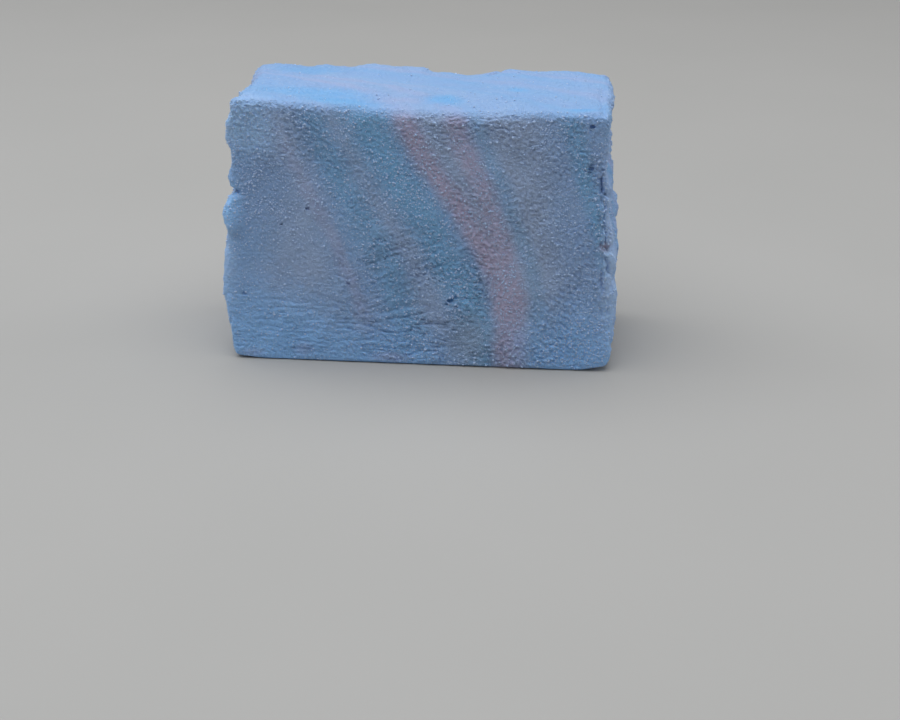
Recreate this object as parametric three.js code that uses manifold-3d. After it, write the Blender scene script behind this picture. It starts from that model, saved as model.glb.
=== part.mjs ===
// A hand-cut block of marshmallow, one solid of set foam, stood on its long cut side.
// The large faces (-Y front, +Y back) are the slab's two skins and the other four are knife cuts.
// Millimetres, +Z up, the origin on the foot, under the middle of the block's outline.
import * as THREE from "three";
import { mergeVertices } from "three/addons/utils/BufferGeometryUtils.js";
import Module from "manifold-3d";

const WIDTH = 60.2; // across the top edge
const DEPTH = 26.3; // the slab's thickness
const HEIGHT = 44.4;
const FOOT_SPREAD = 5.2; // how much wider the block has settled towards its foot
const TOP_FALL = 0.85; // the cut top drops this much from left to right
const EDGE_RADIUS = 2.0;
const LEFT_TUCK = 3.4; // how far the soft foot draws in again at each end
const RIGHT_TUCK = 1.5;
const TUCK_HEIGHT = 14; // the tuck starts at this height and grows downwards
const TUCK_POWER = 1.5;
const GRID_STEP = 2.1; // spacing of the surface grid
const EDGE_CROWDING = 0.4; // 0 spaces the grid evenly, 1 gathers it towards the edges

// Waves of the cut and cast faces: [place, half width, rise].
// On the ends the place is a height at the front edge, on the back skin it runs along X at the top edge.
const LEFT_FOLDS = [
  [35.0, 1.4, -0.85],
  [32.6, 1.6, -0.6],
  [29.8, 1.6, -1.1],
  [22.0, 1.2, -0.25],
  [15.5, 3.0, 0.2],
  [8.0, 1.5, -0.3],
];
const RIGHT_FOLDS = [
  [40.2, 1.1, -0.3],
  [35.0, 3.6, -1.0],
  [30.5, 1.2, 0.3],
  [26.5, 3.2, -0.7],
  [19.0, 1.3, 0.3],
  [11.0, 1.8, -0.2],
];
const BACK_LOBES = [
  [-26, 3.0, 0.35],
  [-21, 2.4, -0.3],
  [-14.5, 2.2, -0.6],
  [-9.5, 2.2, 0.75],
  [-2.5, 3.2, 0.7],
  [6.8, 3.6, -1.5],
  [14.5, 2.8, 1.3],
  [23.5, 4.5, 1.2],
];
const BACK_EDGE_RISE = 0.35; // share of a back lobe that also lifts the top edge
const FOLD_DRIFT = 0.16; // how far a fold climbs for each millimetre of depth
const FOLD_GROWTH = 0.05; // how much deeper it gets for each millimetre of depth
const LOBE_DRIFT = 0.22; // how far a lobe leans along X for each millimetre of height

// A small unevenness lies over every free face: waves along the face, bent by a second set across it.
const RIPPLE = 0.22;
const RIPPLE_PITCH = 0.71; // radians per millimetre
const RIPPLE_CROSS_PITCH = 0.5;
const RIPPLE_SLANT = 0.29;
const RIPPLE_BEND = 0.4;
const CALM = 0.45; // the front skin and the top keep this share of it

// Open bubbles: [face, place along the face, height or depth on it, radius].
const BUBBLES = [
  ["right", 3.2, 30.5, 2.6],
  ["right", -6.5, 11.5, 1.1],
  ["right", 7.4, 19.0, 0.8],
  ["right", -3.4, 21.8, 0.7],
  ["left", -4.6, 31.2, 1.3],
  ["left", 5.8, 25.0, 1.0],
  ["left", 1.6, 12.4, 0.8],
  ["left", 7.6, 8.6, 0.7],
  ["back", -19.0, 29.0, 1.5],
  ["back", -8.0, 14.0, 0.9],
  ["back", 11.0, 33.5, 1.0],
  ["back", 21.5, 18.0, 2.1],
  ["back", 3.5, 23.5, 0.7],
  ["back", -24.5, 9.0, 0.8],
  ["top", 19.0, 6.5, 0.7],
  ["top", -21.0, 5.6, 0.8],
];
const BUBBLE_SQUASH = 0.82; // bubbles are a little flatter than they are wide
const BUBBLE_INSET = 0.35; // share of its radius that a bubble's centre lies below the surface
const FINE_BUBBLE_RADIUS = 1.5; // wider bubbles get the finer ball

const wave = (place, [centre, halfWidth, rise]) =>
  rise * Math.exp(-(((place - centre) / halfWidth) ** 2));
const waves = (place, list) => list.reduce((sum, one) => sum + wave(place, one), 0);
const ripple = (a, b) =>
  RIPPLE *
  Math.sin(RIPPLE_PITCH * a + RIPPLE_BEND * Math.sin(RIPPLE_CROSS_PITCH * b)) *
  Math.cos(RIPPLE_CROSS_PITCH * b - RIPPLE_SLANT * a);

// Moves a point of the plain rounded box to its place on the uneven block.
// n is the box's outward normal at that point.
function settle(p, n) {
  const side = n.x * Math.abs(n.x);
  const skin = n.y * Math.abs(n.y);
  const lid = Math.max(0, n.z) ** 2;
  const behind = p.y + DEPTH / 2;
  const climb = p.z - FOLD_DRIFT * behind;
  const lean = p.x + LOBE_DRIFT * (p.z - HEIGHT);
  const ends = waves(climb, n.x < 0 ? LEFT_FOLDS : RIGHT_FOLDS) * (1 + FOLD_GROWTH * behind);
  const lobes = waves(lean, BACK_LOBES) + ripple(p.x, p.z);
  const rise = BACK_EDGE_RISE * waves(p.x, BACK_LOBES) * THREE.MathUtils.smoothstep(p.y, 0, DEPTH / 2);
  const moved = new THREE.Vector3(
    p.x + side * (ends + ripple(p.y, p.z)),
    p.y + skin * (n.y > 0 ? lobes : CALM * ripple(p.x, p.z)),
    p.z + lid * (rise + CALM * ripple(p.x, p.y)),
  );
  moved.x *= 1 + (FOOT_SPREAD / WIDTH) * (1 - moved.z / HEIGHT);
  const low = Math.max(0, 1 - moved.z / TUCK_HEIGHT) ** TUCK_POWER;
  moved.x -= low * side * (n.x < 0 ? LEFT_TUCK : RIGHT_TUCK);
  moved.z -= (moved.z / HEIGHT) * TOP_FALL * (moved.x / WIDTH + 0.5);
  moved.z = Math.max(0, moved.z);
  return moved;
}

// The point of the rounded box that a grid point of the sharp box goes to, and the normal there.
function roundedBox(p) {
  const half = new THREE.Vector3(WIDTH / 2, DEPTH / 2, HEIGHT / 2);
  const flat = half.clone().subScalar(EDGE_RADIUS);
  const inner = p.clone().clamp(flat.clone().negate(), flat);
  const n = p.clone().sub(inner).normalize();
  const point = inner.addScaledVector(n, EDGE_RADIUS);
  point.z += HEIGHT / 2;
  return { point, n };
}

function blockGeometry() {
  const steps = [WIDTH, DEPTH, HEIGHT].map((size) => Math.round(size / GRID_STEP));
  const box = new THREE.BoxGeometry(2, 2, 2, ...steps);
  box.deleteAttribute("normal");
  box.deleteAttribute("uv");
  const merged = mergeVertices(box);
  const position = merged.getAttribute("position");
  const crowd = (t) => THREE.MathUtils.lerp(t, Math.sin((t * Math.PI) / 2), EDGE_CROWDING);
  for (let i = 0; i < position.count; i++) {
    const p = new THREE.Vector3(
      (crowd(position.getX(i)) * WIDTH) / 2,
      (crowd(position.getY(i)) * DEPTH) / 2,
      (crowd(position.getZ(i)) * HEIGHT) / 2,
    );
    const { point, n } = roundedBox(p);
    const moved = settle(point, n);
    position.setXYZ(i, moved.x, moved.y, moved.z);
  }
  return merged;
}

// The place on the settled surface that a bubble opens at.
function bubbleCentre([face, along, up, radius]) {
  const inset = BUBBLE_INSET * radius;
  const sign = face === "left" ? -1 : 1;
  if (face === "top") {
    const at = settle(new THREE.Vector3(along, up, HEIGHT), new THREE.Vector3(0, 0, 1));
    return at.setZ(at.z - inset);
  }
  if (face === "back") {
    const at = settle(new THREE.Vector3(along, DEPTH / 2, up), new THREE.Vector3(0, 1, 0));
    return at.setY(at.y - inset);
  }
  const at = settle(new THREE.Vector3((sign * WIDTH) / 2, along, up), new THREE.Vector3(sign, 0, 0));
  return at.setX(at.x - sign * inset);
}

function bubbleGeometry(bubble) {
  const radius = bubble[3];
  const ball = new THREE.IcosahedronGeometry(radius, radius > FINE_BUBBLE_RADIUS ? 3 : 1);
  ball.scale(1, 1, BUBBLE_SQUASH);
  ball.translate(...bubbleCentre(bubble));
  ball.deleteAttribute("normal");
  ball.deleteAttribute("uv");
  return mergeVertices(ball, 1e-3);
}

const wasm = await Module();
wasm.setup();

const solidOf = (geometry) =>
  new wasm.Manifold(
    new wasm.Mesh({
      numProp: 3,
      vertProperties: geometry.getAttribute("position").array,
      triVerts: new Uint32Array(geometry.index.array),
    }),
  );

function geometryOf(solid) {
  const mesh = solid.getMesh();
  const geometry = new THREE.BufferGeometry();
  geometry.setAttribute("position", new THREE.BufferAttribute(mesh.vertProperties, 3));
  geometry.setIndex(new THREE.BufferAttribute(mesh.triVerts, 1));
  geometry.computeVertexNormals();
  return geometry;
}

function marshmallow() {
  let solid = solidOf(blockGeometry());
  for (const bubble of BUBBLES) solid = solid.subtract(solidOf(bubbleGeometry(bubble)));
  const foam = new THREE.MeshStandardMaterial({ color: 0xa3bce6, roughness: 0.95, metalness: 0 });
  const geometry = geometryOf(solid);
  geometry.computeBoundingBox();
  const middle = geometry.boundingBox.getCenter(new THREE.Vector3());
  geometry.translate(-middle.x, -middle.y, 0);
  const mesh = new THREE.Mesh(geometry, foam);
  mesh.name = "marshmallow";
  return mesh;
}

const part = new THREE.Group();
part.add(marshmallow());

export default part;
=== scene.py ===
import math

import bmesh
import bpy
import numpy as np
from mathutils import Matrix, Vector, noise


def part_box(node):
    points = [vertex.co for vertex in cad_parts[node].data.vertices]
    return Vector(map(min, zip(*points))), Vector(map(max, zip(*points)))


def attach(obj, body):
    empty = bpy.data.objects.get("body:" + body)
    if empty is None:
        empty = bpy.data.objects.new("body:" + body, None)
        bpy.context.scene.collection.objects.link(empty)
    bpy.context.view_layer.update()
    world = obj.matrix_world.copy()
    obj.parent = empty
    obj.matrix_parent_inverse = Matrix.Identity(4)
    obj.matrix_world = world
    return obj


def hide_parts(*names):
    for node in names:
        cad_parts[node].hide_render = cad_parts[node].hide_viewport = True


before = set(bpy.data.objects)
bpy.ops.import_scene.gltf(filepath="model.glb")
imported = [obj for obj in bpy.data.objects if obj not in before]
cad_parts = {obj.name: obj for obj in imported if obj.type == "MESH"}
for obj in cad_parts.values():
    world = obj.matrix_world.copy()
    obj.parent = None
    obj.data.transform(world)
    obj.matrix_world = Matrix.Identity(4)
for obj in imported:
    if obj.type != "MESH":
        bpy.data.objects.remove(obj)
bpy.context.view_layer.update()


# ---------------------------------------------------------------------------
# The block is whipped sugar foam, poured as a slab on a starched tray and cut into bricks by knife.
# Its front and back are the slab's two skins. The top, the foot and both ends are cuts.
# Sizes here are in millimetres, and the finished mesh is scaled to metres.
MM = 0.001
WIDTH = 60.2  # across the top edge
DEPTH = 26.3  # the slab's thickness
HEIGHT = 44.4
FOOT_SPREAD = 5.2  # how much wider the block has settled towards its foot
TOP_FALL = 0.85  # the cut top drops this much from left to right
EDGE_RADIUS = 2.0
LEFT_TUCK = 2.1  # how far the soft foot draws in again at each end
RIGHT_TUCK = 1.5
TUCK_HEIGHT = 12
TUCK_POWER = 1.7
TUCK_REACH = 12  # it takes this much of the width at each end
HALF = np.array([WIDTH, DEPTH, HEIGHT]) / 2
CUTS = (130, 56, 96)  # grid lines across the width, the depth and the height
EDGE_CROWDING = 0.12
FRONT_TOP_RADIUS = 1.3  # the knife left this edge crisper at its ends than in the middle
MIDDLE_TOP_RADIUS = 2.1
BACK_TOP_RADIUS = 2.5
FOOT_RADIUS = 0.9  # the foam's weight presses this edge flat

# Waves of the faces: (place, half width, rise). On the ends the place is a height at the front edge,
# and on the back skin it runs along X at the top edge.
LEFT_FOLDS = [
    (35.0, 1.4, -0.85),
    (32.6, 1.6, -0.6),
    (28.3, 1.6, -1.15),
    (22.0, 1.2, -0.25),
    (15.5, 3.0, 0.2),
    (8.0, 1.5, -0.1),
]
RIGHT_FOLDS = [
    (40.2, 1.1, -0.3),
    (35.0, 3.6, -1.0),
    (30.5, 1.2, 0.3),
    (26.5, 3.2, -0.7),
    (19.0, 1.3, 0.3),
    (11.0, 1.8, -0.2),
]
BACK_LOBES = [
    (-26, 3.0, 0.35),
    (-21, 2.4, -0.3),
    (-14.5, 2.2, -0.6),
    (-9.5, 2.2, 0.75),
    (-2.5, 3.2, 0.7),
    (6.8, 3.6, -1.5),
    (14.5, 2.8, 1.3),
    (23.5, 4.5, 1.2),
]
BACK_EDGE_RISE = 0.35  # share of a back lobe that also lifts the top edge
FOLD_DRIFT = 0.16  # how far a fold climbs for each millimetre of depth
FOLD_GROWTH = 0.05  # how much deeper it gets for each millimetre of depth
LOBE_DRIFT = 0.22  # how far a lobe leans along X for each millimetre of height
RIPPLE = 0.22
RIPPLE_PITCH = 0.71  # radians per millimetre
RIPPLE_CROSS_PITCH = 0.5
RIPPLE_SLANT = 0.29
RIPPLE_BEND = 0.4
CALM = 0.45  # the front skin and the top keep this share of the ripple


def waves(place, crests):
    return sum(rise * np.exp(-(((place - centre) / half) ** 2)) for centre, half, rise in crests)


def ripple(a, b):
    bend = RIPPLE_BEND * np.sin(RIPPLE_CROSS_PITCH * b)
    return RIPPLE * np.sin(RIPPLE_PITCH * a + bend) * np.cos(RIPPLE_CROSS_PITCH * b - RIPPLE_SLANT * a)


def smooth(value, start, end):
    """Rises softly from 0 to 1 while the value goes from start to end."""
    t = np.clip((value - start) / (end - start), 0, 1)
    return t * t * (3 - 2 * t)


def settle(p, n):
    """Moves points p of the plain rounded box, whose outward normals are n, to the uneven block."""
    x, y, z = p.T
    side = n[:, 0] * np.abs(n[:, 0])
    skin = n[:, 1] * np.abs(n[:, 1])
    lid = np.maximum(0, n[:, 2]) ** 2
    behind = y + DEPTH / 2
    climb = z - FOLD_DRIFT * behind
    lean = x + LOBE_DRIFT * (z - HEIGHT)
    ends = np.where(n[:, 0] < 0, waves(climb, LEFT_FOLDS), waves(climb, RIGHT_FOLDS))
    ends = ends * (1 + FOLD_GROWTH * behind)
    skins = np.where(n[:, 1] > 0, waves(lean, BACK_LOBES) + ripple(x, z), CALM * ripple(x, z))
    rise = BACK_EDGE_RISE * waves(x, BACK_LOBES) * smooth(y, 0, DEPTH / 2)
    moved_x = x + side * (ends + ripple(y, z))
    moved_y = y + skin * skins
    moved_z = z + lid * (rise + CALM * ripple(x, y))
    moved_x = moved_x * (1 + (FOOT_SPREAD / WIDTH) * (1 - moved_z / HEIGHT))
    low = np.maximum(0, 1 - moved_z / TUCK_HEIGHT) ** TUCK_POWER
    outer = np.sign(x) * smooth(np.abs(x), WIDTH / 2 - TUCK_REACH, WIDTH / 2 - 1)
    moved_x = moved_x - low * outer * np.where(x < 0, LEFT_TUCK, RIGHT_TUCK)
    moved_z = moved_z - (moved_z / HEIGHT) * TOP_FALL * (moved_x / WIDTH + 0.5)
    return np.column_stack([moved_x, moved_y, np.maximum(0, moved_z)])


def coordinates(bm):
    return np.array([v.co[:] for v in bm.verts])


def place_vertices(bm, points):
    for vertex, point in zip(bm.verts, points):
        vertex.co = point


def noise_at(points, size, seed=0.0):
    """Smooth noise from -1 to 1 at each point, with features of about that size, alike or per axis."""
    shifted = points / np.asarray(size, float) + (seed, 1.7 * seed, -2.3 * seed)
    return np.array([noise.noise(p) for p in shifted])


VALLEY_STEEPNESS = 5


def creases_at(points, size, seed=0.0):
    """Thin winding valleys from 0 to 1 where that noise changes sign."""
    return np.clip(1 - VALLEY_STEEPNESS * np.abs(noise_at(points, size, seed)), 0, 1)


def uneven(points, size, seed, mean, spread, least, most):
    """A share that varies over the block in patches of about that size."""
    return np.clip(mean + spread * noise_at(points, size, seed), least, most)


# A cube is cut into a grid, twice as fine on the front skin, and moved out to the rounded, settled block.
FRONT_FACE = -0.999
block = bmesh.new()
bmesh.ops.create_cube(block, size=2)
for axis, cuts in enumerate(CUTS):
    along = [e for e in block.edges if abs((e.verts[0].co - e.verts[1].co)[axis]) > 1]
    bmesh.ops.subdivide_edges(block, edges=along, cuts=cuts, use_grid_fill=True)
skin_edges = [e for e in block.edges if max(v.co.y for v in e.verts) < FRONT_FACE]
bmesh.ops.subdivide_edges(block, edges=skin_edges, cuts=1, use_grid_fill=True)

EDGE_ZONE = (HALF[2] - 8, HALF[2] - 3)  # the top and foot edges' own radii fade in between these heights
FRONT_ZONE = (2, 8)
SOFT_MIDDLE = 1  # the top's front edge is softer around here
SOFT_HALF_WIDTH = 17
cube = coordinates(block)
plain = ((1 - EDGE_CROWDING) * cube + EDGE_CROWDING * np.sin(cube * math.pi / 2)) * HALF
at_top = smooth(plain[:, 2], *EDGE_ZONE)
at_foot = smooth(-plain[:, 2], *EDGE_ZONE)
at_front = smooth(-plain[:, 1], *FRONT_ZONE)
middle = np.exp(-(((plain[:, 0] - SOFT_MIDDLE) / SOFT_HALF_WIDTH) ** 4))
front_top_radius = FRONT_TOP_RADIUS + (MIDDLE_TOP_RADIUS - FRONT_TOP_RADIUS) * middle
top_radius = at_front * front_top_radius + (1 - at_front) * BACK_TOP_RADIUS
radius = EDGE_RADIUS + (FOOT_RADIUS - EDGE_RADIUS) * at_foot + (top_radius - EDGE_RADIUS) * at_top
radius = radius[:, None]
inner = np.clip(plain, radius - HALF, HALF - radius)
normal = plain - inner
normal /= np.linalg.norm(normal, axis=1, keepdims=True)
plain = inner + normal * radius + (0, 0, HALF[2])
formed = settle(plain, normal)

# The fine relief, in millimetres out of the surface. Every face has grit, the skins have drying wrinkles
# and the cuts have drag ridges. Each face counts by how squarely it looks its way. The two numbers given
# to smooth() say from where to where along X, Y or Z a kind of relief fades in.
FOOT_TILT = (0.3, 0.8)  # the foot stays plain
front = np.clip(-normal[:, 1], 0, 1) ** 2
back = np.clip(normal[:, 1], 0, 1) ** 2
top = np.clip(normal[:, 2], 0, 1) ** 2
ends = normal[:, 0] ** 2
foot = smooth(-normal[:, 2], *FOOT_TILT)
px, py, pz = plain.T

GRAIN_SIZE = (1.25, 1.25, 0.95)
GRAIN_DEPTH = 0.36
GRAIN_MEAN = 0.25
GRIT_SIZE = (0.75, 0.75, 0.6)
GRIT_DEPTH = 0.19
END_GRIT = 0.8  # how much of the grains and the grit each face shows
TOP_GRIT = 0.3
BACK_GRIT = 0.8
FRONT_GRIT = 0.2
SWELL_SIZE = 9.0
SWELL_DEPTH = 0.13
FROST_SIZE = (0.48, 0.5, 0.4)
FROST_DEPTH = 0.27
THIN_FROST = 0.5  # the front skin's frost, and what is added to the right and above
MORE_FROST = 0.95
FRONT_LOSS = 0.14  # the relief starts this far inside the plain shape
BACK_LOSS = 0.3
grains = np.abs(noise_at(formed, GRAIN_SIZE, 1.0)) - GRAIN_MEAN
grit = noise_at(formed, GRIT_SIZE, 2.0)
frost = noise_at(formed, FROST_SIZE, 2.5)
cloudy = uneven(formed, size=6.5, seed=3.0, mean=0.85, spread=0.8, least=0.3, most=1.4)
plump = smooth(px, -24, 2) + smooth(pz, 30, 37) * smooth(-px, 0, 10)
frosted = THIN_FROST + MORE_FROST * np.clip(plump, 0, 1)
rough = END_GRIT * ends + TOP_GRIT * top + BACK_GRIT * back + FRONT_GRIT * front
swell = SWELL_DEPTH * noise_at(formed, SWELL_SIZE, 3.5)
relief = rough * (GRAIN_DEPTH * grains + GRIT_DEPTH * grit) + swell
relief += front * frosted * cloudy * FROST_DEPTH * frost
relief -= FRONT_LOSS * front + BACK_LOSS * back

# Wrinkles run level near the foot and climb to the right in the middle.
WRINKLE_DEPTH = 0.34
WRINKLE_SIZE = (6.5, 4.0, 0.52)
WRINKLE_WAVE = 0.3
CLIMB = 0.34  # millimetres up for each millimetre to the right of the start
CLIMB_START = -14
LEFT_REACH = 11  # they reach this high at the left, and this much higher from the middle on
MORE_REACH = 9
RIGHT_WRINKLES = 0.3  # share of them at the right, and what is added towards the left
MORE_WRINKLES = 0.7
STRAY_WRINKLES = 0.06
FOOT_WRINKLES = 0.75
MIDDLE_WRINKLES = 0.5
BACK_WRINKLES = 0.5
climbing = CLIMB * (px - CLIMB_START) * smooth(px, CLIMB_START, -4) * smooth(pz, 7, 16)
combed = np.column_stack([px, py, pz - climbing + WRINKLE_WAVE * noise_at(formed, 4.0, 4.0)])
wrinkles = creases_at(combed, WRINKLE_SIZE, 5.0)
reach = LEFT_REACH + MORE_REACH * smooth(px, -16, -6)
to_left = RIGHT_WRINKLES + MORE_WRINKLES * smooth(-px, -15, -8)
wrinkled = (1 - smooth(pz - reach, 0, 7)) * to_left * smooth(pz, 0.5, 2.5)
patchy = uneven(formed, size=6.0, seed=6.0, mean=0.6, spread=0.8, least=0.1, most=1.2)
central = np.exp(-(((px + 2) / 9) ** 2))
on_front = STRAY_WRINKLES + (FOOT_WRINKLES + MIDDLE_WRINKLES * central) * wrinkled
relief -= WRINKLE_DEPTH * wrinkles * patchy * (front * on_front + BACK_WRINKLES * back)

# Short upright pleats gather where the middle of the skin sags onto its foot.
PLEAT_SIZE = (0.62, 4.0, 4.5)
PLEAT_DEPTH = 0.2
pleats = creases_at(formed, PLEAT_SIZE, 18.0)
gathered = np.exp(-(((px - 3) / 6) ** 4))
relief -= PLEAT_DEPTH * front * pleats * gathered * (1 - smooth(pz, 2.5, 5.0))

# The knife drags ridges across the ends, from skin edge to skin edge of the slab, and parts the foam in
# thin layers. On the top it leaves flat streaks.
DRAG_SIZE = (9.0, 2.4, 17.0)
DRAG_DEPTH = 0.4
DRAG_MEAN = 0.25
DRAG_WAVE = 1.3
LAYER_SIZE = (4.0, 0.9, 3.6)
LAYER_DEPTH = 0.6
STREAK_SIZE = (13.0, 1.7, 4.0)
STREAK_DEPTH = 0.13
CRUMPLE_SIZE = 2.1
END_CRUMPLE = 0.24
TOP_CRUMPLE = 0.055
BACK_CRUMPLE = 0.12
bent = np.column_stack([px, py + DRAG_WAVE * noise_at(formed, 7.0, 7.0), pz])
drags = np.abs(noise_at(bent, DRAG_SIZE, 8.0))
crumple = noise_at(formed, CRUMPLE_SIZE, 9.0)
parted = uneven(formed, size=3.5, seed=17.0, mean=0.5, spread=1.3, least=0, most=1)
layers = creases_at(bent, LAYER_SIZE, 16.0) * parted
relief += ends * (DRAG_DEPTH * (drags - DRAG_MEAN) + END_CRUMPLE * crumple - LAYER_DEPTH * layers)
streaks = noise_at(formed, STREAK_SIZE, 10.0)
relief += top * (STREAK_DEPTH * streaks + TOP_CRUMPLE * crumple)
relief += back * BACK_CRUMPLE * crumple

# The edges of the cuts are ragged, most of all along the back.
RAGGED = 0.36
FINE_RAG_SHARE = 0.6
SIDE_EDGE_SHARE = 0.5
near_back = smooth(py, DEPTH / 2 - 4, DEPTH / 2 - 1)
near_top = smooth(pz, HEIGHT - 4, HEIGHT - 1)
near_end = smooth(np.abs(px), WIDTH / 2 - 3, WIDTH / 2 - 1)
ragged = noise_at(formed, 2.4, 11.0) + FINE_RAG_SHARE * noise_at(formed, 1.2, 12.0)
on_edges = near_back * near_top + near_back * near_end + SIDE_EDGE_SHARE * near_top * near_end
relief += RAGGED * ragged * np.clip(on_edges, 0, 1)

# A lip of foam runs down the right edge of the front, behind a crease that tears open in places.
CREASE_INSET = 1.9
CREASE_HALF_WIDTH = 0.36
CREASE_DEPTH = 0.75
CREASE_WANDER = 0.7
CREASE_FOOT = (8, 12)  # it fades in between these heights, and out again between the next two
CREASE_TOP = (31, 35)
LIP_INSET = 0.6
LIP_SINK = 0.2
LIP_WAVE = 0.3
level = np.column_stack([0 * px, 0 * px, pz])
wander = CREASE_WANDER * noise_at(level, 3.0, 13.0)
crease_at = WIDTH / 2 - CREASE_INSET + wander
along_crease = smooth(pz, *CREASE_FOOT) * smooth(-pz, -CREASE_TOP[1], -CREASE_TOP[0])
broken = uneven(level, size=1.6, seed=14.0, mean=0.5, spread=1.6, least=0.05, most=1)
crease = np.exp(-(((px - crease_at) / CREASE_HALF_WIDTH) ** 2))
relief -= front * CREASE_DEPTH * broken * along_crease * crease
lip = smooth(px, WIDTH / 2 - CREASE_INSET, WIDTH / 2 - LIP_INSET) * along_crease
relief += lip * (-LIP_SINK + LIP_WAVE * noise_at(formed, 1.9, 15.0)) * (1 - ends)


def groove(across, up, start, end, half_width, depth):
    """A rounded cut from start to end, both given by the coordinates across and up."""
    run, rise = end[0] - start[0], end[1] - start[1]
    share = np.clip(((across - start[0]) * run + (up - start[1]) * rise) / (run**2 + rise**2), 0, 1)
    aside = np.hypot(across - start[0] - share * run, up - start[1] - share * rise)
    return depth * np.exp(-((aside / half_width) ** 2))


# Cracks and tears near the side edges of the front and along the edges of the top:
# (start, end, half width, depth). Those of the front wind to and fro across their line.
FRONT_CRACKS = [
    ((28.5, 33.6), (28.8, 31.3), 0.28, 1.0),
    ((28.8, 31.3), (30.4, 30.2), 0.3, 1.0),
    ((28.9, 30.6), (29.0, 26.9), 0.22, 0.55),
    ((29.0, 26.9), (29.1, 22.7), 0.25, 0.75),
    ((28.9, 21.7), (30.6, 21.2), 0.55, 0.95),
    ((29.0, 20.2), (29.1, 17.6), 0.25, 0.7),
    ((29.9, 17.0), (30.0, 14.8), 0.28, 0.6),
    ((-29.8, 29.2), (-27.9, 28.9), 0.4, 0.8),
]
TOP_CRACKS = [
    ((29.0, -13.0), (27.9, 1.0), 0.4, 0.45),
    ((-4.5, 11.6), (1.2, 11.0), 0.35, 0.6),
    ((10.0, 8.6), (12.0, 11.6), 0.35, 0.55),
]
CRACK_WANDER = 0.45
CRACK_WANDER_SIZE = (9.0, 9.0, 1.5)
in_front = (1 - top) * smooth(-py, 8, 11.5)
winding = px + CRACK_WANDER * noise_at(formed, CRACK_WANDER_SIZE, 21.0)
for crack in FRONT_CRACKS:
    relief -= in_front * groove(winding, pz, *crack)
for crack in TOP_CRACKS:
    relief -= top * groove(px, py, *crack)

place_vertices(block, formed)
block.normal_update()
outward = np.array([v.normal[:] for v in block.verts])
shaped = formed + outward * (relief * (1 - foot))[:, None]

# A lump hangs out under the notch at the left edge of the front.
LUMP_TOP = 28.6
LUMP_LEDGE = 0.4
LEDGE_HEIGHT = 0.6
LUMP_RISE = 0.55
LUMP_HEIGHT = 5.2
LUMP_END = (5.4, 7.6)  # it ends this far under its top
below = LUMP_TOP - pz
hanging = LUMP_LEDGE * smooth(below, 0, LEDGE_HEIGHT) + LUMP_RISE * smooth(below, 0, LUMP_HEIGHT)
hanging = hanging * (1 - smooth(below, *LUMP_END))
shaped[:, 1] -= hanging * smooth(-px, 26.0, 28.8) * smooth(-py, 5, 11)

# The cut top juts out to the right behind its corner, and is bitten in behind the left one.
TOP_LIP = 1.1
LEFT_BITE = 1.5
BITE_LOSS = 0.85  # the bite loses this share of its depth towards the back
CORNER_BEVEL = 0.5  # the left front corner of the top is knocked in, and the right one behind
LEFT_FALL = 0.4
EDGE_DROOP = 0.35  # the cut top falls towards its front edge
BACK_STEP = 0.7  # behind, one lobe ends and the edge steps down
SAG = 0.75  # how far the top's front edge sinks in the middle
SAG_MIDDLE = 1
SAG_HALF_WIDTH = 15
shaped[:, 0] += TOP_LIP * smooth(px, 25, 29.5) * smooth(pz, 40.5, 43) * smooth(py, -6, 1)
bite = smooth(py, -12.4, -10) * (1 - BITE_LOSS * smooth(py, 0, 9)) * smooth(pz, 35, 41)
shaped[:, 0] += LEFT_BITE * bite * smooth(-px, 24, 29)
upper = smooth(pz, HEIGHT - 12, HEIGHT - 1)
sinking = EDGE_DROOP + SAG * np.exp(-(((px - SAG_MIDDLE) / SAG_HALF_WIDTH) ** 2))
shaped[:, 2] -= sinking * smooth(-py, 3, 12) * upper
shaped[:, 2] -= BACK_STEP * smooth(px, -1.6, 0.4) * (1 - smooth(px, 5, 11)) * smooth(py, 5, 12) * upper
shaped[:, 2] -= LEFT_FALL * smooth(-px, 16, 21) * smooth(py, 5, 12) * upper
shaped[:, 0] += CORNER_BEVEL * smooth(pz, 40, 43.5) * smooth(-px, 26.5, 29.5) * smooth(-py, 7, 12)
shaped[:, 0] -= CORNER_BEVEL * smooth(pz, 40, 43.5) * smooth(px, 26.5, 29.5) * smooth(py, 8, 12)

# The soft foot's corners round off and lift a little at both ends.
RIGHT_LIFT = 0.8
LEFT_LIFT = 0.4
LIFT_LENGTH = 7.0
LIFT_HEIGHT = 5.0
FOOT_CORNER = 0.15  # how far the ends draw in at the very foot
to_end = smooth(np.abs(px), WIDTH / 2 - LIFT_LENGTH, WIDTH / 2) ** 2
near_foot = np.clip(1 - shaped[:, 2] / LIFT_HEIGHT, 0, 1)
shaped[:, 0] -= np.sign(px) * to_end * FOOT_CORNER * near_foot**6
shaped[:, 2] += to_end * np.where(px > 0, RIGHT_LIFT, LEFT_LIFT) * near_foot
shaped[:, 2] = np.maximum(0, shaped[:, 2])
place_vertices(block, shaped)

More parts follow.
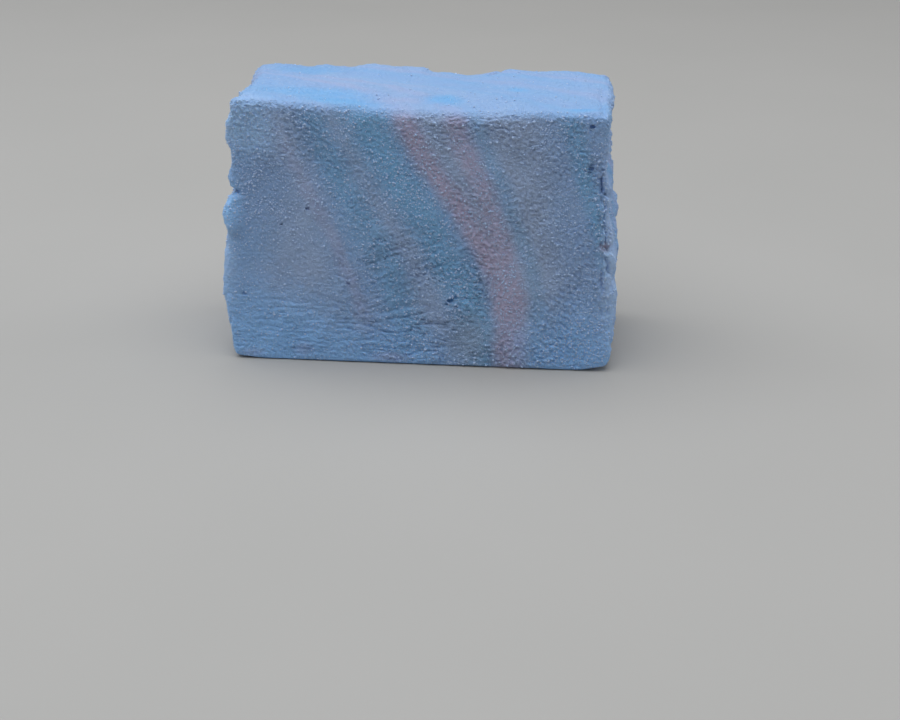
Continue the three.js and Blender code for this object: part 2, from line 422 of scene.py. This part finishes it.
# Open bubbles and small pits: (face, place along the face, height or depth on it, radius).
BUBBLES = [
    ("right", 3.2, 30.5, 2.6),
    ("right", -6.5, 11.5, 1.1),
    ("right", 7.4, 19.0, 0.8),
    ("right", -3.4, 21.8, 0.7),
    ("left", -4.6, 31.2, 1.3),
    ("left", 5.8, 25.0, 1.0),
    ("left", 1.6, 12.4, 0.8),
    ("left", 7.6, 8.6, 0.7),
    ("back", -19.0, 29.0, 1.5),
    ("back", -8.0, 14.0, 0.9),
    ("back", 11.0, 33.5, 1.0),
    ("back", 21.5, 18.0, 2.1),
    ("back", 3.5, 23.5, 0.7),
    ("back", -24.5, 9.0, 0.8),
]
PITS = [
    ("front", -17.0, 26.7, 0.36),
    ("front", -21.0, 23.8, 0.25),
    ("front", -26.7, 11.6, 0.38),
    ("front", -10.6, 14.1, 0.32),
    ("front", 5.0, 11.8, 0.58),
    ("front", 5.8, 12.3, 0.4),
    ("front", 4.5, 11.1, 0.36),
    ("front", 26.7, 35.1, 0.52),
    ("front", 26.9, 35.7, 0.36),
    ("front", 26.5, 34.6, 0.32),
    ("front", 27.0, 42.0, 0.5),
    ("front", 28.5, 35.0, 0.3),
    ("front", 29.4, 21.4, 0.45),
    ("top", 15.2, -3.2, 0.25),
    ("top", 10.1, -10.6, 0.28),
]
STRAY_PITS = {"left": 20, "right": 20, "back": 30}
STRAY_HEIGHTS = (3, 41)
STRAY_RADII = (0.16, 0.38)
STRAY_MARGIN = 3
LARGEST_PIT = 0.6  # a wider hole is a bubble
WIDE_BUBBLE = 1.5
BUBBLE_SQUASH = 0.82
BUBBLE_TILT = 0.6  # radians
DENT = 0.14  # bubbles are dented by this share of their radius
DENT_SIZE = 0.9
DENT_SEED = Vector((17, 0, 0))
BUBBLE_INSET = 0.05  # share of its radius that a bubble's middle lies under the surface
PIT_INSET = {"front": 0.7, "top": 0.5, "left": 0.0, "right": 0.0, "back": 0.0}
FACE_NORMALS = {
    "front": (0, -1, 0),
    "back": (0, 1, 0),
    "left": (-1, 0, 0),
    "right": (1, 0, 0),
    "top": (0, 0, 1),
}

rng = np.random.default_rng(7)
for face, count in STRAY_PITS.items():
    reach = (HALF[1] if face in ("left", "right") else HALF[0]) - STRAY_MARGIN
    for _ in range(count):
        place = rng.uniform(-reach, reach)
        PITS.append((face, place, rng.uniform(*STRAY_HEIGHTS), rng.uniform(*STRAY_RADII)))


def opening(face, along, up):
    """The plain box's point on that face."""
    if face == "top":
        return (along, up, HEIGHT)
    if face in ("front", "back"):
        return (along, FACE_NORMALS[face][1] * DEPTH / 2, up)
    return (FACE_NORMALS[face][0] * WIDTH / 2, along, up)


def fineness(radius):
    """How often the ball that cuts a hole of that radius is subdivided."""
    if radius > WIDE_BUBBLE:
        return 4
    return 3 if radius > LARGEST_PIT else 2


cutters = bmesh.new()
for face, along, up, radius in BUBBLES + PITS:
    out = np.array([FACE_NORMALS[face]], float)
    at = settle(np.array([opening(face, along, up)], float), out)[0]
    centre = at - out[0] * radius * (BUBBLE_INSET if radius > LARGEST_PIT else PIT_INSET[face])
    lean = Matrix.Rotation(rng.uniform(-BUBBLE_TILT, BUBBLE_TILT), 4, "Y")
    lean = lean @ Matrix.Rotation(rng.uniform(-BUBBLE_TILT, BUBBLE_TILT), 4, "X")
    squash = Matrix.Diagonal((1, 1, BUBBLE_SQUASH, 1))
    ball = bmesh.ops.create_icosphere(
        cutters,
        subdivisions=fineness(radius),
        radius=radius,
        matrix=Matrix.Translation(centre) @ lean @ squash,
    )
    for vertex in ball["verts"]:
        arm = vertex.co - Vector(centre)
        vertex.co += arm * DENT * noise.noise(vertex.co / (DENT_SIZE * radius) + DENT_SEED)

for bm in (block, cutters):
    bmesh.ops.scale(bm, vec=(MM, MM, MM), verts=bm.verts)
    bmesh.ops.recalc_face_normals(bm, faces=bm.faces)


def piece_from(bm, name):
    mesh = bpy.data.meshes.new(name)
    bm.to_mesh(mesh)
    bm.free()
    mesh.polygons.foreach_set("use_smooth", np.ones(len(mesh.polygons), bool))
    piece = bpy.data.objects.new(name, mesh)
    bpy.context.scene.collection.objects.link(piece)
    return piece


foam = piece_from(block, "foam_block")
bubbles = piece_from(cutters, "bubble_cutters")
cut = foam.modifiers.new("bubbles", "BOOLEAN")
cut.operation = "DIFFERENCE"
cut.solver = "MANIFOLD"
cut.object = bubbles
bpy.context.view_layer.update()
opened = bpy.data.meshes.new_from_object(foam.evaluated_get(bpy.context.evaluated_depsgraph_get()))
foam.modifiers.clear()
foam.data = opened
bpy.data.objects.remove(bubbles)

# The block stands where the CAD block stands: the middles of the two outlines agree.
foam_low = Vector(np.min([v.co[:] for v in opened.vertices], axis=0))
foam_high = Vector(np.max([v.co[:] for v in opened.vertices], axis=0))
low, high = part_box("marshmallow")
offset = (low + high - foam_low - foam_high) / 2
opened.transform(Matrix.Translation((offset.x, offset.y, 0)))

# The foam's colour: a pale lavender blue, marbled with sheets of turquoise and pink that the spatula drew
# through it. Each sheet bends in depth, so that it shows as a band on every face it meets.
FOAM_BLUE = (0.30, 0.485, 0.80, 1)
TURQUOISE = (0.245, 0.505, 0.81, 1)
PINK = (0.535, 0.495, 0.69, 1)
WARM_GREY = (0.43, 0.535, 0.755, 1)
LAVENDER = (0.335, 0.49, 0.785, 1)
SKY = (0.19, 0.50, 0.88, 1)
# Painted bounce light: a brighter blue for the foot of the front, as if lit from below.
BOUNCE_LIGHT_BLUE = (0.32, 0.585, 1.0, 1)
# Painted highlight: a lit blue for the lump at the left edge.
LIT_BLUE = (0.34, 0.61, 1.0, 1)
# Painted rim light, partly frosted fuzz: a lighter blue for the edges of the front.
FROST_AND_RIM_LIGHT = (0.43, 0.66, 1.0, 1)
DUN = (0.35, 0.46, 0.65, 1)
# Painted rim light, partly frosted fuzz, for the strip along the right edge.
PALE_FROST_AND_RIM_LIGHT = (0.52, 0.68, 0.98, 1)
SHADED = (0.27, 0.42, 0.70, 1)
# Painted shade: a red-brown darkening for the widest tear.
TEAR_SHADE_BROWN = (0.42, 0.34, 0.45, 1)
BEND_REACH = 13.93  # the front skin's distance from the block's middle

# (colour, place along the top of the front, drift to the right at the foot, share of the height that it
#  drifts over, half width at the top, half width at the foot, lean with depth, bend with depth, strength)
RIBBONS = [
    (WARM_GREY, 15.2, 5.5, 0.85, 5.0, 5.5, 0.6, 0.07, 0.95),
    (WARM_GREY, -12.3, 18.0, 1.0, 2.0, 3.2, 2.0, 0.05, 0.5),
    (WARM_GREY, -21.5, 5.0, 1.0, 2.6, 7.0, 1.6, 0.05, 0.7),
    (WARM_GREY, 1.8, 14.3, 0.85, 3.0, 1.8, 0.1, 0.086, 0.95),
    (LAVENDER, 24.0, 3.0, 1.0, 3.0, 3.0, 0.6, 0.07, 0.8),
    (TURQUOISE, -7.2, 19.0, 1.0, 3.6, 2.6, 2.3, 0.03, 1.0),
    (TURQUOISE, -15.6, 16.4, 1.0, 2.0, 2.6, 2.3, 0.03, 0.68),
    (TURQUOISE, 8.9, 11.0, 0.85, 1.3, 1.5, 0.1, 0.086, 0.4),
    (TURQUOISE, 24.0, 9.0, 0.85, 1.5, 1.5, 0.5, 0.1, 0.85),
    (PINK, -2.7, 17.6, 0.85, 1.8, 2.1, 0.0, 0.086, 1.0),
    (PINK, 6.0, 10.4, 0.85, 1.9, 1.5, 0.1, 0.086, 0.85),
    (PINK, -21.5, 15.5, 1.0, 1.2, 1.2, 2.3, 0.03, 0.35),
]
TOP_SHARE = 0.3  # the knife smeared the ribbons on the cuts, where these shares of their tint are left
END_SHARE = 0.38
BACK_SHARE = 0.7
# Smaller blots: (colour, centre, half sizes, strength). Some of them are painted light and shade, as
# marked.
BLOTS = [
    (SKY, (3.4, -8.0, 44), (3.5, 1.7, 2.5), 0.72),
    (SKY, (14.9, -1.7, 44), (1.6, 1.1, 2.5), 0.6),
    (SKY, (25.3, -11.2, 44), (2.6, 1.0, 2.0), 0.7),
    (SKY, (-16.0, -7.5, 44), (8.5, 2.2, 2.0), 0.6),
    (SHADED, (-21.0, 7.0, 44), (8.0, 4.0, 2.5), 0.5),
    (SHADED, (-24.2, -13.0, 29.5), (5.0, 4.0, 6.0), 0.85),
    (SKY, (-20.0, 5.8, 44), (6.0, 2.6, 2.0), 0.4),
    (PINK, (-1.4, -8.6, 44), (2.6, 1.1, 2.0), 0.3),
    # Painted rim light, partly frosted fuzz: the top left corner of the front and the strips along both
    # side edges are painted lighter.
    (FROST_AND_RIM_LIGHT, (-27.5, -13.0, 39.8), (6.0, 4.0, 4.6), 0.9),
    (PALE_FROST_AND_RIM_LIGHT, (31.2, -12.0, 20.0), (2.0, 3.5, 22.0), 0.75),
    (FROST_AND_RIM_LIGHT, (-31.6, -12.0, 17.0), (2.2, 3.5, 15.0), 0.5),
    (SKY, (-12.0, -10.8, 44), (6.0, 1.5, 2.0), 0.6),
    (LAVENDER, (-26.0, 2.6, 44), (3.0, 3.5, 3.0), 0.4),
    # Painted highlight: the lump at the left edge is painted lighter, as if lit from the left.
    (LIT_BLUE, (-30.2, -13.0, 26.5), (2.0, 5.0, 3.6), 1.0),
    # Painted bounce light: the foot of the front is painted brighter and bluer, as if lit by light
    # bounced up from below.
    (BOUNCE_LIGHT_BLUE, (-23.0, -13.0, 3.0), (13.0, 6.0, 9.0), 1.0),
    (BOUNCE_LIGHT_BLUE, (25.0, -13.0, 2.0), (8.5, 6.0, 9.0), 1.0),
    (BOUNCE_LIGHT_BLUE, (-5.0, -13.0, 0.5), (11.0, 6.0, 6.0), 1.0),
    (DUN, (8.5, -13.5, 4.5), (3.2, 3.0, 5.0), 0.8),
    # Painted reflection: pink spots along the foot of the front stand in for the reflected pink streaks.
    (PINK, (-27.5, -13.5, 1.2), (1.8, 2.0, 0.8), 0.22),
    (PINK, (-19.0, -13.5, 2.2), (1.6, 2.0, 1.2), 0.25),
    (PINK, (-4.5, -13.5, 1.3), (3.0, 2.0, 0.9), 0.4),
    # Painted shade: the widest tear near the right edge of the front is painted darker and red-brown.
    (TEAR_SHADE_BROWN, (29.6, -11.8, 21.4), (1.1, 1.8, 0.8), 0.8),
]
# More sheets follow behind and to the right: from, to and about this far apart, and what their values
# are drawn from.
FAR_RIBBONS = (34, 106, 7.4)
FAR_TINTS = (TURQUOISE, PINK, WARM_GREY)
FAR_SHIFT = (-2, 2)
FAR_DRIFT = (9, 18)
FAR_DRIFT_SHARE = 0.9
FAR_HALF_TOP = (1.4, 3.6)
FAR_HALF_FOOT = (1.4, 4.4)
FAR_LEAN = 0.5
FAR_BEND = 0.075
FAR_STRENGTH = (0.45, 0.85)
for index, place in enumerate(np.arange(*FAR_RIBBONS)):
    RIBBONS.append((
        FAR_TINTS[index % len(FAR_TINTS)],
        place + rng.uniform(*FAR_SHIFT),
        rng.uniform(*FAR_DRIFT),
        FAR_DRIFT_SHARE,
        rng.uniform(*FAR_HALF_TOP),
        rng.uniform(*FAR_HALF_FOOT),
        FAR_LEAN,
        FAR_BEND,
        rng.uniform(*FAR_STRENGTH),
    ))


class Sockets:
    """Short ways to wire the nodes of one material."""

    def __init__(self, name):
        self.material = bpy.data.materials.new(name)
        self.material.use_nodes = True
        self.tree = self.material.node_tree
        self.shader = self.tree.nodes["Principled BSDF"]
        coordinate = self.tree.nodes.new("ShaderNodeTexCoord").outputs["Object"]
        mapping = self.tree.nodes.new("ShaderNodeMapping")
        mapping.inputs["Scale"].default_value = (1 / MM, 1 / MM, 1 / MM)
        self.tree.links.new(coordinate, mapping.inputs["Vector"])
        self.at = mapping.outputs["Vector"]

    def plug(self, value, socket):
        if isinstance(value, bpy.types.NodeSocket):
            self.tree.links.new(value, socket)
        else:
            socket.default_value = value

    def math(self, operation, *values, clamp=False):
        node = self.tree.nodes.new("ShaderNodeMath")
        node.operation = operation
        node.use_clamp = clamp
        for value, socket in zip(values, node.inputs):
            self.plug(value, socket)
        return node.outputs[0]

    def ramp(self, value, start, end):
        node = self.tree.nodes.new("ShaderNodeMapRange")
        node.interpolation_type = "SMOOTHSTEP"
        for entry, name in ((value, "Value"), (start, "From Min"), (end, "From Max")):
            self.plug(entry, node.inputs[name])
        return node.outputs["Result"]

    def noise(self, size, detail=2.0, rough=0.5):
        node = self.tree.nodes.new("ShaderNodeTexNoise")
        self.plug(self.at, node.inputs["Vector"])
        node.inputs["Scale"].default_value = 1 / size
        node.inputs["Detail"].default_value = detail
        node.inputs["Roughness"].default_value = rough
        return node.outputs["Fac"]

    def sway(self, reach, size, detail=2.0, rough=0.5):
        """Noise about zero, over that whole reach."""
        return self.math("MULTIPLY_ADD", self.noise(size, detail, rough), reach, -reach / 2)

    def mix(self, factor, a, b):
        node = self.tree.nodes.new("ShaderNodeMix")
        node.data_type = "RGBA"
        self.plug(factor, node.inputs["Factor"])
        self.plug(a, node.inputs["A"])
        self.plug(b, node.inputs["B"])
        return node.outputs["Result"]

    def bump(self, height, distance, strength, below=None):
        node = self.tree.nodes.new("ShaderNodeBump")
        node.inputs["Distance"].default_value = distance
        node.inputs["Strength"].default_value = strength
        self.plug(height, node.inputs["Height"])
        if below is not None:
            self.plug(below, node.inputs["Normal"])
        return node.outputs["Normal"]


# The ribbons' edges wave and fray, and on the hidden faces they are torn further. The ranges say between
# which places the top, the ends and the back begin.
WARP = 2.4
FRAY = 1.3
TEAR = 8.0
TOP_HEIGHT = (41.3, 42.8)
END_DISTANCE = (28.5, 31.0)
END_DEPTH = (0.8, 4.0)
BACK_DEPTH = (10.5, 12.8)
DRIFT_POWER = 1.5
RIBBON_EDGE = (1.85, 0.15)  # shares of the half width between which a ribbon fades in
BLOT_EDGE = (1.6, 0.25)
BLOT_FRAY = 0.5
skin = Sockets("marbled_foam")
split = skin.tree.nodes.new("ShaderNodeSeparateXYZ")
skin.plug(skin.at, split.inputs[0])
along, depth, height = split.outputs
behind = skin.math("ADD", depth, BEND_REACH)
fallen = skin.math("DIVIDE", skin.math("SUBTRACT", HEIGHT, height), HEIGHT, clamp=True)
warp = skin.sway(WARP, 8.0)
fray = skin.sway(FRAY, 1.6, 3.0, 0.6)
sideways = skin.ramp(skin.math("ABSOLUTE", along), *END_DISTANCE)
at_end = skin.math("MULTIPLY", sideways, skin.ramp(behind, *END_DEPTH))
at_back = skin.ramp(depth, *BACK_DEPTH)
hidden = skin.math("MAXIMUM", at_end, at_back)
torn = skin.math("MULTIPLY", skin.sway(TEAR, 5.0, 3.0, 0.6), hidden)
wobble = skin.math("ADD", skin.math("ADD", warp, fray), torn)
patchy_tint = skin.math("MULTIPLY_ADD", skin.noise(4.5), 0.9, 0.5, clamp=True)
for mask, left in (
    (skin.ramp(height, *TOP_HEIGHT), TOP_SHARE),
    (at_end, END_SHARE),
    (at_back, BACK_SHARE),
):
    patchy_tint = skin.math("MULTIPLY", patchy_tint, skin.math("MULTIPLY_ADD", mask, left - 1, 1.0))


def drift(share):
    quarter_turn = skin.math("MULTIPLY", skin.math("DIVIDE", fallen, share, clamp=True), math.pi / 2)
    return skin.math("POWER", skin.math("SINE", quarter_turn), DRIFT_POWER)


drifts = {share: drift(share) for share in sorted({ribbon[3] for ribbon in RIBBONS})}


def ribbon_mask(place, reach, share, half_top, half_foot, lean, bend, strength):
    shift = skin.math("MULTIPLY", behind, skin.math("MULTIPLY_ADD", behind, bend, lean))
    swing = skin.math("MULTIPLY_ADD", drifts[share], -reach, shift)
    aside = skin.math("ADD", skin.math("ADD", skin.math("SUBTRACT", along, place), swing), wobble)
    half = skin.math("MULTIPLY_ADD", fallen, half_foot - half_top, half_top)
    share_out = skin.math("DIVIDE", skin.math("ABSOLUTE", aside), half)
    inside = skin.ramp(share_out, *RIBBON_EDGE)
    return skin.math("MULTIPLY", inside, skin.math("MULTIPLY", patchy_tint, strength))


def blot_mask(centre, half, strength):
    squeezed = skin.tree.nodes.new("ShaderNodeMapping")
    squeezed.inputs["Scale"].default_value = [1 / size for size in half]
    squeezed.inputs["Location"].default_value = [-place / size for place, size in zip(centre, half)]
    skin.plug(skin.at, squeezed.inputs["Vector"])
    away = skin.tree.nodes.new("ShaderNodeVectorMath")
    away.operation = "LENGTH"
    skin.plug(squeezed.outputs["Vector"], away.inputs[0])
    frayed = skin.math("MULTIPLY_ADD", fray, BLOT_FRAY, away.outputs["Value"])
    return skin.math("MULTIPLY", skin.ramp(frayed, *BLOT_EDGE), strength)


color = skin.mix(skin.ramp(skin.noise(11.0), 0.4, 0.62), FOAM_BLUE, LAVENDER)
for tint, *shape in RIBBONS:
    color = skin.mix(ribbon_mask(*shape), color, tint)
for tint, *shape in BLOTS:
    color = skin.mix(blot_mask(*shape), color, tint)

# Loose starch lies over the colours in soft drifts, and the foam's own pores are a fine bump.
DUSTED = (0.47, 0.62, 0.86, 1)
DUST_COVER = 0.35
powder = skin.noise(0.62, 2.0, 0.6)
thick = skin.noise(7.0)
cover = skin.math("MULTIPLY", skin.ramp(powder, 0.5, 0.68), skin.ramp(thick, 0.25, 0.7))
color = skin.mix(skin.math("MULTIPLY", cover, DUST_COVER), color, DUSTED)
skin.plug(color, skin.shader.inputs["Base Color"])
skin.shader.inputs["Roughness"].default_value = 0.92
skin.shader.inputs["Specular IOR Level"].default_value = 0.2
skin.shader.inputs["Subsurface Weight"].default_value = 0.12
skin.shader.inputs["Subsurface Radius"].default_value = (1.0, 0.8, 0.6)
skin.shader.inputs["Subsurface Scale"].default_value = 0.0006
grain = skin.bump(skin.noise(0.55, 3.0, 0.65), 0.6 * MM, 0.9)
grain = skin.bump(skin.noise(0.22, 2.0, 0.6), 0.19 * MM, 0.7, grain)
skin.plug(grain, skin.shader.inputs["Normal"])

foam.data.materials.clear()
foam.data.materials.append(skin.material)
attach(foam, "root")
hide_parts("marshmallow")


# ---------------------------------------------------------------------------
# Starch and icing sugar cling to the tacky foam, as half-sunk clumps and as single grains.
# They fell from a sieve on the tray side, so the front skin holds the most.
DUST_WHITE = (0.56, 0.68, 0.88, 1)
DUST_BLUE = (0.44, 0.59, 0.85, 1)

dust = Sockets("dry_starch")
shade = dust.mix(dust.noise(0.9, 1.0), DUST_WHITE, DUST_BLUE)
dust.plug(shade, dust.shader.inputs["Base Color"])
dust.shader.inputs["Roughness"].default_value = 0.95
dust.shader.inputs["Specular IOR Level"].default_value = 0.2
dust.plug(dust.bump(dust.noise(0.12), 0.03 * MM, 0.5), dust.shader.inputs["Normal"])

surface = foam.data
surface.calc_loop_triangles()
corners = np.empty(len(surface.loop_triangles) * 3, np.int32)
surface.loop_triangles.foreach_get("vertices", corners)
positions = np.empty(len(surface.vertices) * 3, np.float32)
surface.vertices.foreach_get("co", positions)
triangles = positions.reshape(-1, 3)[corners.reshape(-1, 3)] / MM
crosses = np.cross(triangles[:, 1] - triangles[:, 0], triangles[:, 2] - triangles[:, 0])
areas = np.linalg.norm(crosses, axis=1) / 2
facing = crosses / np.maximum(2 * areas[:, None], 1e-12)
middles = triangles.mean(axis=1)


def scatter(count, weights):
    """Places and outward directions of that many grains, drawn over the surface by weight."""
    chosen = rng.choice(len(areas), count, p=weights / weights.sum())
    a, b = rng.random((2, count, 1))
    flip = a + b > 1
    a, b = np.where(flip, 1 - a, a), np.where(flip, 1 - b, b)
    corner = triangles[chosen]
    spots = corner[:, 0] + a * (corner[:, 1] - corner[:, 0]) + b * (corner[:, 2] - corner[:, 0])
    return spots, facing[chosen]


def turned(count):
    """That many random rotation matrices."""
    quaternions = rng.normal(size=(4, count))
    w, x, y, z = quaternions / np.linalg.norm(quaternions, axis=0)
    return np.array([
        [1 - 2 * (y * y + z * z), 2 * (x * y - z * w), 2 * (x * z + y * w)],
        [2 * (x * y + z * w), 1 - 2 * (x * x + z * z), 2 * (y * z - x * w)],
        [2 * (x * z - y * w), 2 * (y * z + x * w), 1 - 2 * (x * x + y * y)],
    ]).transpose(2, 0, 1)


TABLE_GAP = 0.02  # no grain reaches lower than this


def joined_grains(name, seed_shape, spots, directions, sizes, flatness, sunk, jitter):
    """One mesh of many grains: copies of a small closed shape, each stretched, turned and half sunk."""
    shape = np.array([v.co[:] for v in seed_shape.verts])
    faces = np.array([[v.index for v in f.verts] for f in seed_shape.faces])
    count = len(spots)
    stretch = rng.uniform(flatness, 1.0, (count, 1, 3))
    lumps = 1 + rng.uniform(-jitter, jitter, (count, len(shape), 1))
    grains = np.einsum("nij,nkj->nki", turned(count), shape[None] * stretch * lumps)
    grains = grains * sizes[:, None, None] / 2
    grains += (spots + directions * (0.5 - sunk)[:, None] * sizes[:, None])[:, None]
    grains[:, :, 2] = np.maximum(grains[:, :, 2], TABLE_GAP)
    corner_lists = (faces[None] + len(shape) * np.arange(count)[:, None, None]).reshape(-1, 3)
    mesh = bpy.data.meshes.new(name)
    mesh.from_pydata((grains.reshape(-1, 3) * MM).tolist(), [], corner_lists.tolist())
    mesh.polygons.foreach_set("use_smooth", np.ones(len(mesh.polygons), bool))
    piece = bpy.data.objects.new(name, mesh)
    bpy.context.scene.collection.objects.link(piece)
    mesh.materials.append(dust.material)
    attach(piece, "root")


# How much dust each face holds for its area, next to the front skin, whose low left part is nearly bare.
BARE_SHARE = 0.75
BACK_DUST = 0.45
TOP_DUST = 0.006
END_DUST = 0.22
DUST_FROM = 0.4  # the foot's rim is rubbed clean up to this height
LOOSE_DUST = 0.05  # single grains lie everywhere as well, but hardly on the top
TOP_BARENESS = 0.96
onto_front = np.clip(-facing[:, 1], 0, 1) ** 1.6
onto_back = np.clip(facing[:, 1], 0, 1) ** 3
onto_top = np.clip(facing[:, 2], 0, 1) ** 3
onto_ends = np.abs(facing[:, 0]) ** 3
mx, mz = middles[:, 0], middles[:, 2]
bare_patch = smooth(-mz, -30, -12) * smooth(-mx, -4, 14)
rich = 1 - BARE_SHARE * bare_patch
drifted = uneven(middles, size=5.0, seed=20.0, mean=1, spread=1.3, least=0.2, most=3)
above_table = mz > DUST_FROM
held = onto_front * rich + BACK_DUST * onto_back + TOP_DUST * onto_top + END_DUST * onto_ends
weights = areas * above_table * held

CLUMP_COUNT = 9700
SMALLEST_CLUMP = 0.22
CLUMP_SPREAD = 0.28
CLUMP_POWER = 1.6  # most clumps are small
CLUMP_SUNK = (0.32, 0.58)
clump_shape = bmesh.new()
bmesh.ops.create_icosphere(clump_shape, subdivisions=1, radius=1)
spots, directions = scatter(CLUMP_COUNT, weights * drifted)
sizes = SMALLEST_CLUMP + CLUMP_SPREAD * rng.random(CLUMP_COUNT) ** CLUMP_POWER
sunk = rng.uniform(*CLUMP_SUNK, CLUMP_COUNT)
joined_grains(
    "starch_clumps", clump_shape, spots, directions, sizes, flatness=0.5, sunk=sunk, jitter=0.38
)

GRAIN_COUNT = 24000
SUGAR_SIZES = (0.14, 0.3)
SUGAR_SUNK = (0.45, 0.7)
grain_shape = bmesh.new()
bmesh.ops.create_uvsphere(grain_shape, u_segments=4, v_segments=2, radius=1)
bmesh.ops.triangulate(grain_shape, faces=grain_shape.faces)
loose = LOOSE_DUST * areas * above_table * (1 - TOP_BARENESS * onto_top)
spots, directions = scatter(GRAIN_COUNT, weights + loose)
sizes = rng.uniform(*SUGAR_SIZES, GRAIN_COUNT)
sunk = rng.uniform(*SUGAR_SUNK, GRAIN_COUNT)
joined_grains(
    "sugar_grains", grain_shape, spots, directions, sizes, flatness=0.7, sunk=sunk, jitter=0.2
)


# ---------------------------------------------------------------------------
# The set: a plain pale table, one wide soft light overhead and a little in front, two weak ones at the
# sides, and a faint warm room.
TABLE_SIZE = 6.0
TABLE_TINTS = ((0.44, 0.415, 0.385, 1), (0.47, 0.44, 0.41, 1))
table_mesh = bmesh.new()
bmesh.ops.create_grid(table_mesh, x_segments=1, y_segments=1, size=TABLE_SIZE / 2)
table = piece_from(table_mesh, "table")
matte = Sockets("pale_table")
matte.plug(matte.mix(matte.noise(60.0), *TABLE_TINTS), matte.shader.inputs["Base Color"])
matte.shader.inputs["Roughness"].default_value = 0.9
table.data.materials.append(matte.material)


DAYLIGHT = (0.86, 0.93, 1.0)
ROOM_TINT = (1.0, 0.98, 0.95, 1)
ROOM_STRENGTH = 0.168


def soft_light(name, place, target, width, depth, power):
    lamp = bpy.data.lights.new(name, "AREA")
    lamp.shape = "RECTANGLE"
    lamp.size, lamp.size_y = width, depth
    lamp.energy = power
    lamp.color = DAYLIGHT
    holder = bpy.data.objects.new(name, lamp)
    holder.location = place
    holder.rotation_euler = (Vector(target) - Vector(place)).to_track_quat("-Z", "Y").to_euler()
    bpy.context.scene.collection.objects.link(holder)


soft_light("overhead", (-0.08, -0.06, 0.6), (0, 0, 0), 0.9, 0.8, 5.0)
soft_light("left_side", (-0.6, 0.14, 0.28), (0, 0, 0.02), 0.5, 0.5, 0.7)
soft_light("right_side", (0.6, 0.14, 0.28), (0, 0, 0.02), 0.5, 0.5, 0.9)

world = bpy.data.worlds.new("room")
world.use_nodes = True
world.node_tree.nodes["Background"].inputs["Color"].default_value = ROOM_TINT
world.node_tree.nodes["Background"].inputs["Strength"].default_value = ROOM_STRENGTH
bpy.context.scene.world = world
bpy.context.scene.view_settings.view_transform = "Standard"

CAMERA_PLACE = (0.0244, -0.2537, 0.1075)
CAMERA_PITCH = math.radians(23.8)  # down from level
CAMERA_YAW = math.radians(4.53)  # towards -X
CAMERA_ROLL = math.radians(0.4)
camera = bpy.data.cameras.new("camera")
camera.lens = 64
camera.sensor_width = 36
camera.clip_start = 0.01
holder = bpy.data.objects.new("camera", camera)
tilt = Matrix.Rotation(math.pi / 2 - CAMERA_PITCH, 4, "X")
holder.matrix_world = (
    Matrix.Translation(CAMERA_PLACE)
    @ Matrix.Rotation(CAMERA_YAW, 4, "Z")
    @ tilt
    @ Matrix.Rotation(CAMERA_ROLL, 4, "Z")
)
bpy.context.scene.collection.objects.link(holder)
bpy.context.scene.camera = holder
